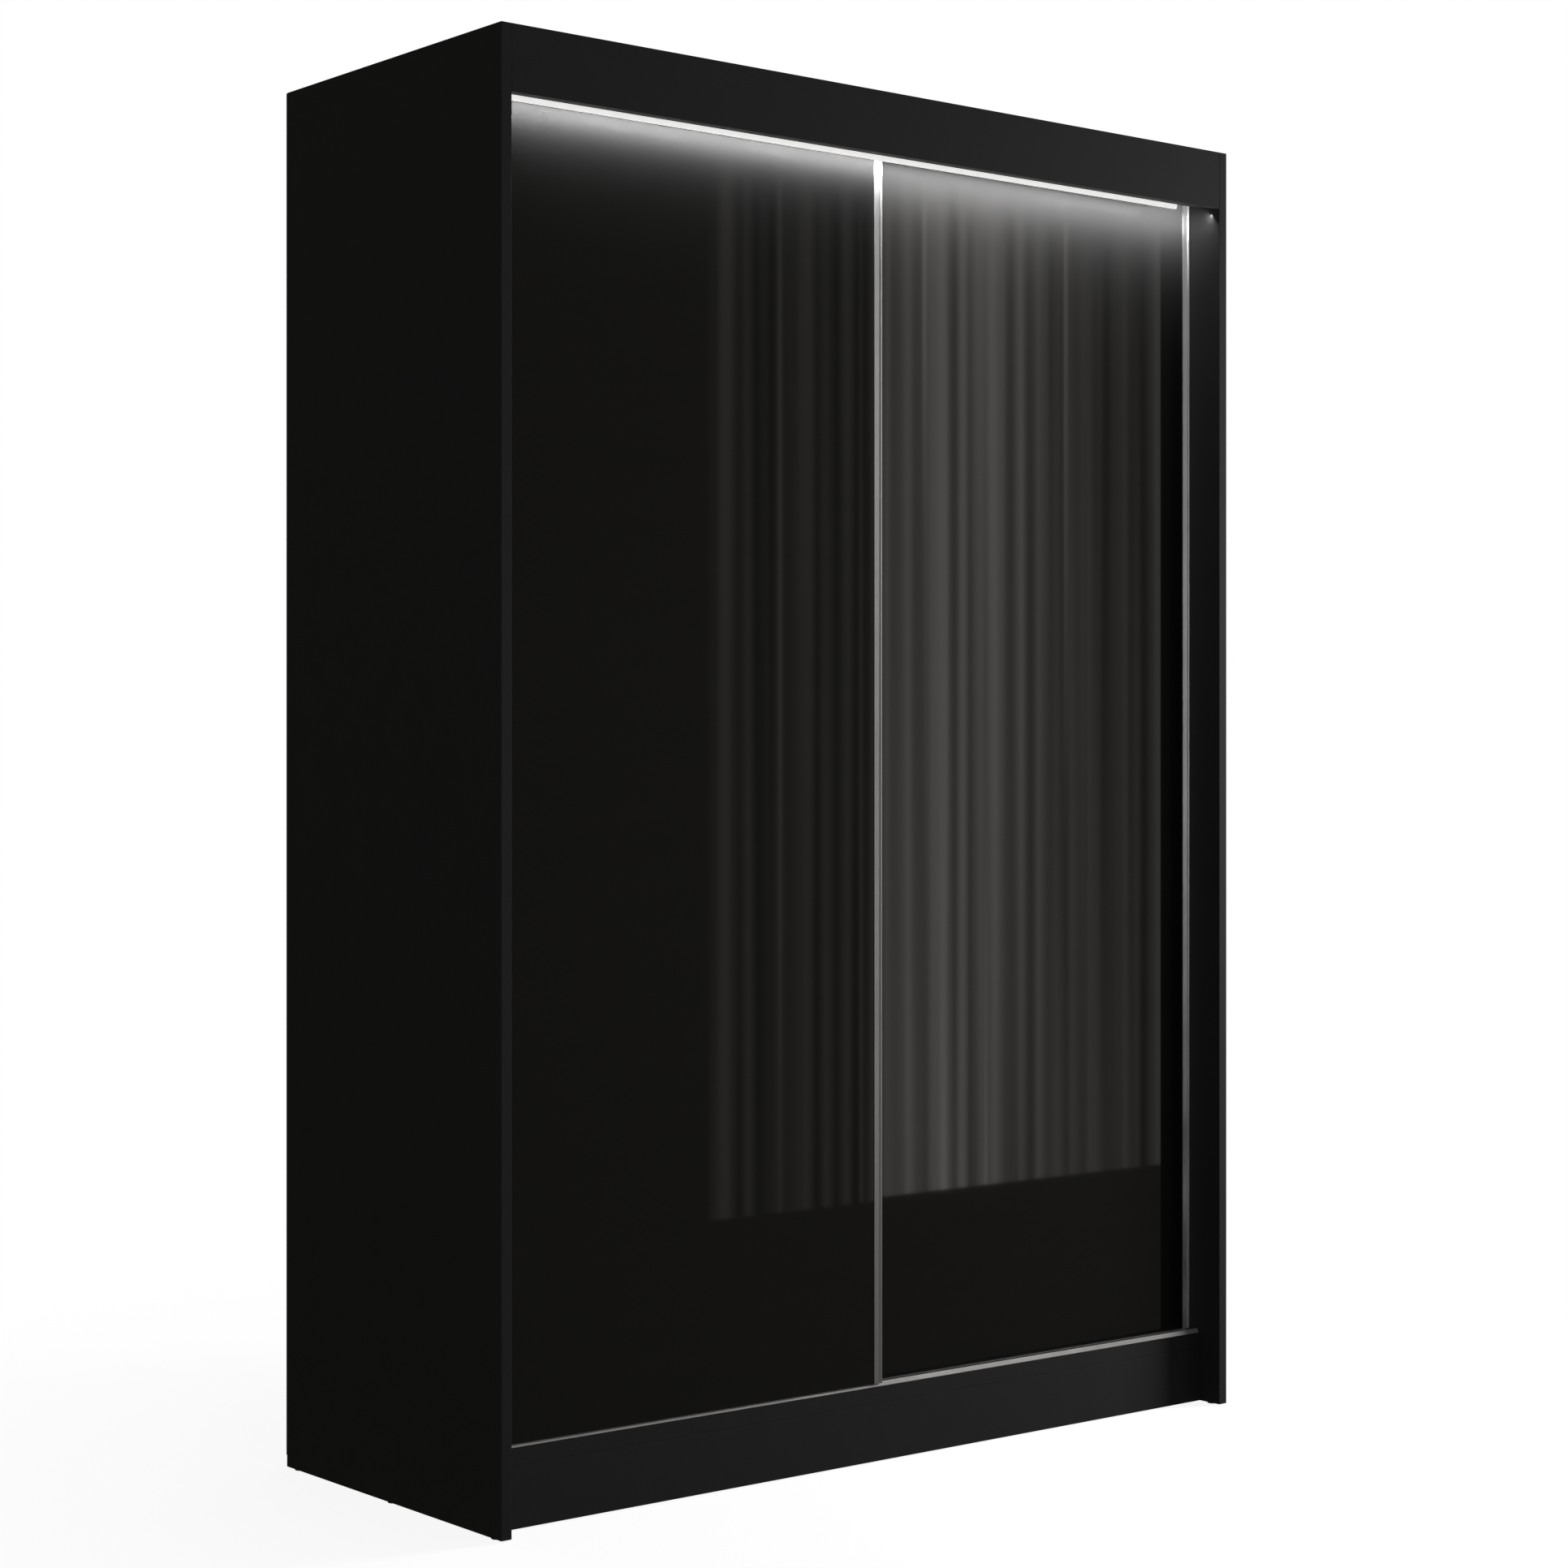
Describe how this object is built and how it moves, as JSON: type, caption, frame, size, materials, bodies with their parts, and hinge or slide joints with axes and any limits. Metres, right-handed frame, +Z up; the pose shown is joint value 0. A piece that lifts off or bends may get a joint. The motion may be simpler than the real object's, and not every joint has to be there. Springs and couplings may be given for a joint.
{
  "type": "sliding door wardrobe",
  "caption": "Sliding door wardrobe with black glass doors, aluminium edge profiles, a light bar under its fascia, a plinth, a hanging bay and a bay of shelves.",
  "frame": {"origin": "on the floor, at the middle of the overall width and depth", "axes": "+X to the right seen from the front, +Y to the back, +Z up"},
  "size_m": [1.5, 0.6, 2.15],
  "materials": {
    "black_melamine": "matte black melamine on chipboard",
    "hardboard": "smooth brown hardboard",
    "black_glass": "black back-painted glass, gloss",
    "aluminium": "satin anodised, brushed along its length",
    "steel": "zinc plated",
    "beech": "plain beech",
    "black_plastic": "moulded, fine texture",
    "grey_plastic": "moulded",
    "nylon": "moulded, slightly worn running faces",
    "rubber": "matte",
    "brush_fibre": "fine bristles",
    "opal_diffuser": "opal, lit from inside",
    "led_chips": "white circuit strip with light chips"
  },
  "bodies": {
    "carcass": {"side_panel_left": "black_melamine", "side_panel_right": "black_melamine", "top_panel": "black_melamine", "bottom_panel": "black_melamine", "centre_divider": "black_melamine", "fascia": "black_melamine", "plinth_front": "black_melamine", "plinth_rear": "black_melamine", "plinth_braces": "black_melamine", "hat_shelf": "black_melamine", "shelf_1": "black_melamine", "shelf_2": "black_melamine", "shelf_3": "black_melamine", "shelf_4": "black_melamine", "back_sheet_left": "hardboard", "back_sheet_right": "hardboard", "hanging_rail": "steel", "rail_flanges": "steel", "cam_locks": "steel", "cam_bolts": "steel", "shelf_pins": "steel", "back_nails": "steel", "carcass_screws": "steel", "wall_brackets": "steel", "dowels": "beech", "floor_glides": "black_plastic", "top_track": "aluminium", "bottom_track": "aluminium", "door_stops": "rubber", "led_channel": "aluminium", "led_diffuser": "opal_diffuser", "led_tape": "led_chips", "led_end_caps": "grey_plastic", "led_driver": "black_plastic"},
    "left_door": {"left_door_board": "black_melamine", "left_door_glass": "black_glass", "left_door_profile_outer": "aluminium", "left_door_profile_meeting": "aluminium", "left_door_roller_housings": "black_plastic", "left_door_roller_axles": "steel", "left_door_guide_housings": "black_plastic", "left_door_brush": "brush_fibre", "left_door_screws": "steel"},
    "left_roller_outer": {"left_roller_outer": "nylon"},
    "left_guide_outer": {"left_guide_outer": "nylon"},
    "left_roller_inner": {"left_roller_inner": "nylon"},
    "left_guide_inner": {"left_guide_inner": "nylon"},
    "right_door": {"right_door_board": "black_melamine", "right_door_glass": "black_glass", "right_door_profile_outer": "aluminium", "right_door_profile_meeting": "aluminium", "right_door_roller_housings": "black_plastic", "right_door_roller_axles": "steel", "right_door_guide_housings": "black_plastic", "right_door_brush": "brush_fibre", "right_door_screws": "steel"},
    "right_roller_outer": {"right_roller_outer": "nylon"},
    "right_guide_outer": {"right_guide_outer": "nylon"},
    "right_roller_inner": {"right_roller_inner": "nylon"},
    "right_guide_inner": {"right_guide_inner": "nylon"}
  },
  "joints": [
    {"name": "left_door_slide", "type": "slide", "parent": "carcass", "child": "left_door", "axis": [1, 0, 0], "range_m": [0, 0.726]},
    {"name": "left_roller_outer_spin", "type": "hinge", "parent": "left_door", "child": "left_roller_outer", "pos_m": [-0.641, -0.243, 0.1346], "axis": [0, 1, 0], "range_deg": [0, 3970]},
    {"name": "left_guide_outer_spin", "type": "hinge", "parent": "left_door", "child": "left_guide_outer", "pos_m": [-0.681, -0.244, 2.114], "axis": [0, 0, 1], "range_deg": [0, 3900]},
    {"name": "left_roller_inner_spin", "type": "hinge", "parent": "left_door", "child": "left_roller_inner", "pos_m": [-0.0865, -0.243, 0.1346], "axis": [0, 1, 0], "range_deg": [0, 3970]},
    {"name": "left_guide_inner_spin", "type": "hinge", "parent": "left_door", "child": "left_guide_inner", "pos_m": [-0.0465, -0.244, 2.114], "axis": [0, 0, 1], "range_deg": [0, 3900]},
    {"name": "right_door_slide", "type": "slide", "parent": "carcass", "child": "right_door", "axis": [1, 0, 0], "range_m": [-0.726, 0]},
    {"name": "right_roller_outer_spin", "type": "hinge", "parent": "right_door", "child": "right_roller_outer", "pos_m": [0.641, -0.219, 0.1346], "axis": [0, 1, 0], "range_deg": [-3970, 0]},
    {"name": "right_guide_outer_spin", "type": "hinge", "parent": "right_door", "child": "right_guide_outer", "pos_m": [0.681, -0.22, 2.114], "axis": [0, 0, 1], "range_deg": [-3900, 0]},
    {"name": "right_roller_inner_spin", "type": "hinge", "parent": "right_door", "child": "right_roller_inner", "pos_m": [0.0865, -0.219, 0.1346], "axis": [0, 1, 0], "range_deg": [-3970, 0]},
    {"name": "right_guide_inner_spin", "type": "hinge", "parent": "right_door", "child": "right_guide_inner", "pos_m": [0.0465, -0.22, 2.114], "axis": [0, 0, 1], "range_deg": [-3900, 0]}
  ],
  "couplings": [
    {"joint": "left_roller_outer_spin", "follows": "left_door_slide", "rad_per_m": 95.238},
    {"joint": "left_guide_outer_spin", "follows": "left_door_slide", "rad_per_m": 93.458},
    {"joint": "left_roller_inner_spin", "follows": "left_door_slide", "rad_per_m": 95.238},
    {"joint": "left_guide_inner_spin", "follows": "left_door_slide", "rad_per_m": 93.458},
    {"joint": "right_roller_outer_spin", "follows": "right_door_slide", "rad_per_m": 95.238},
    {"joint": "right_guide_outer_spin", "follows": "right_door_slide", "rad_per_m": 93.458},
    {"joint": "right_roller_inner_spin", "follows": "right_door_slide", "rad_per_m": 95.238},
    {"joint": "right_guide_inner_spin", "follows": "right_door_slide", "rad_per_m": 93.458}
  ]
}
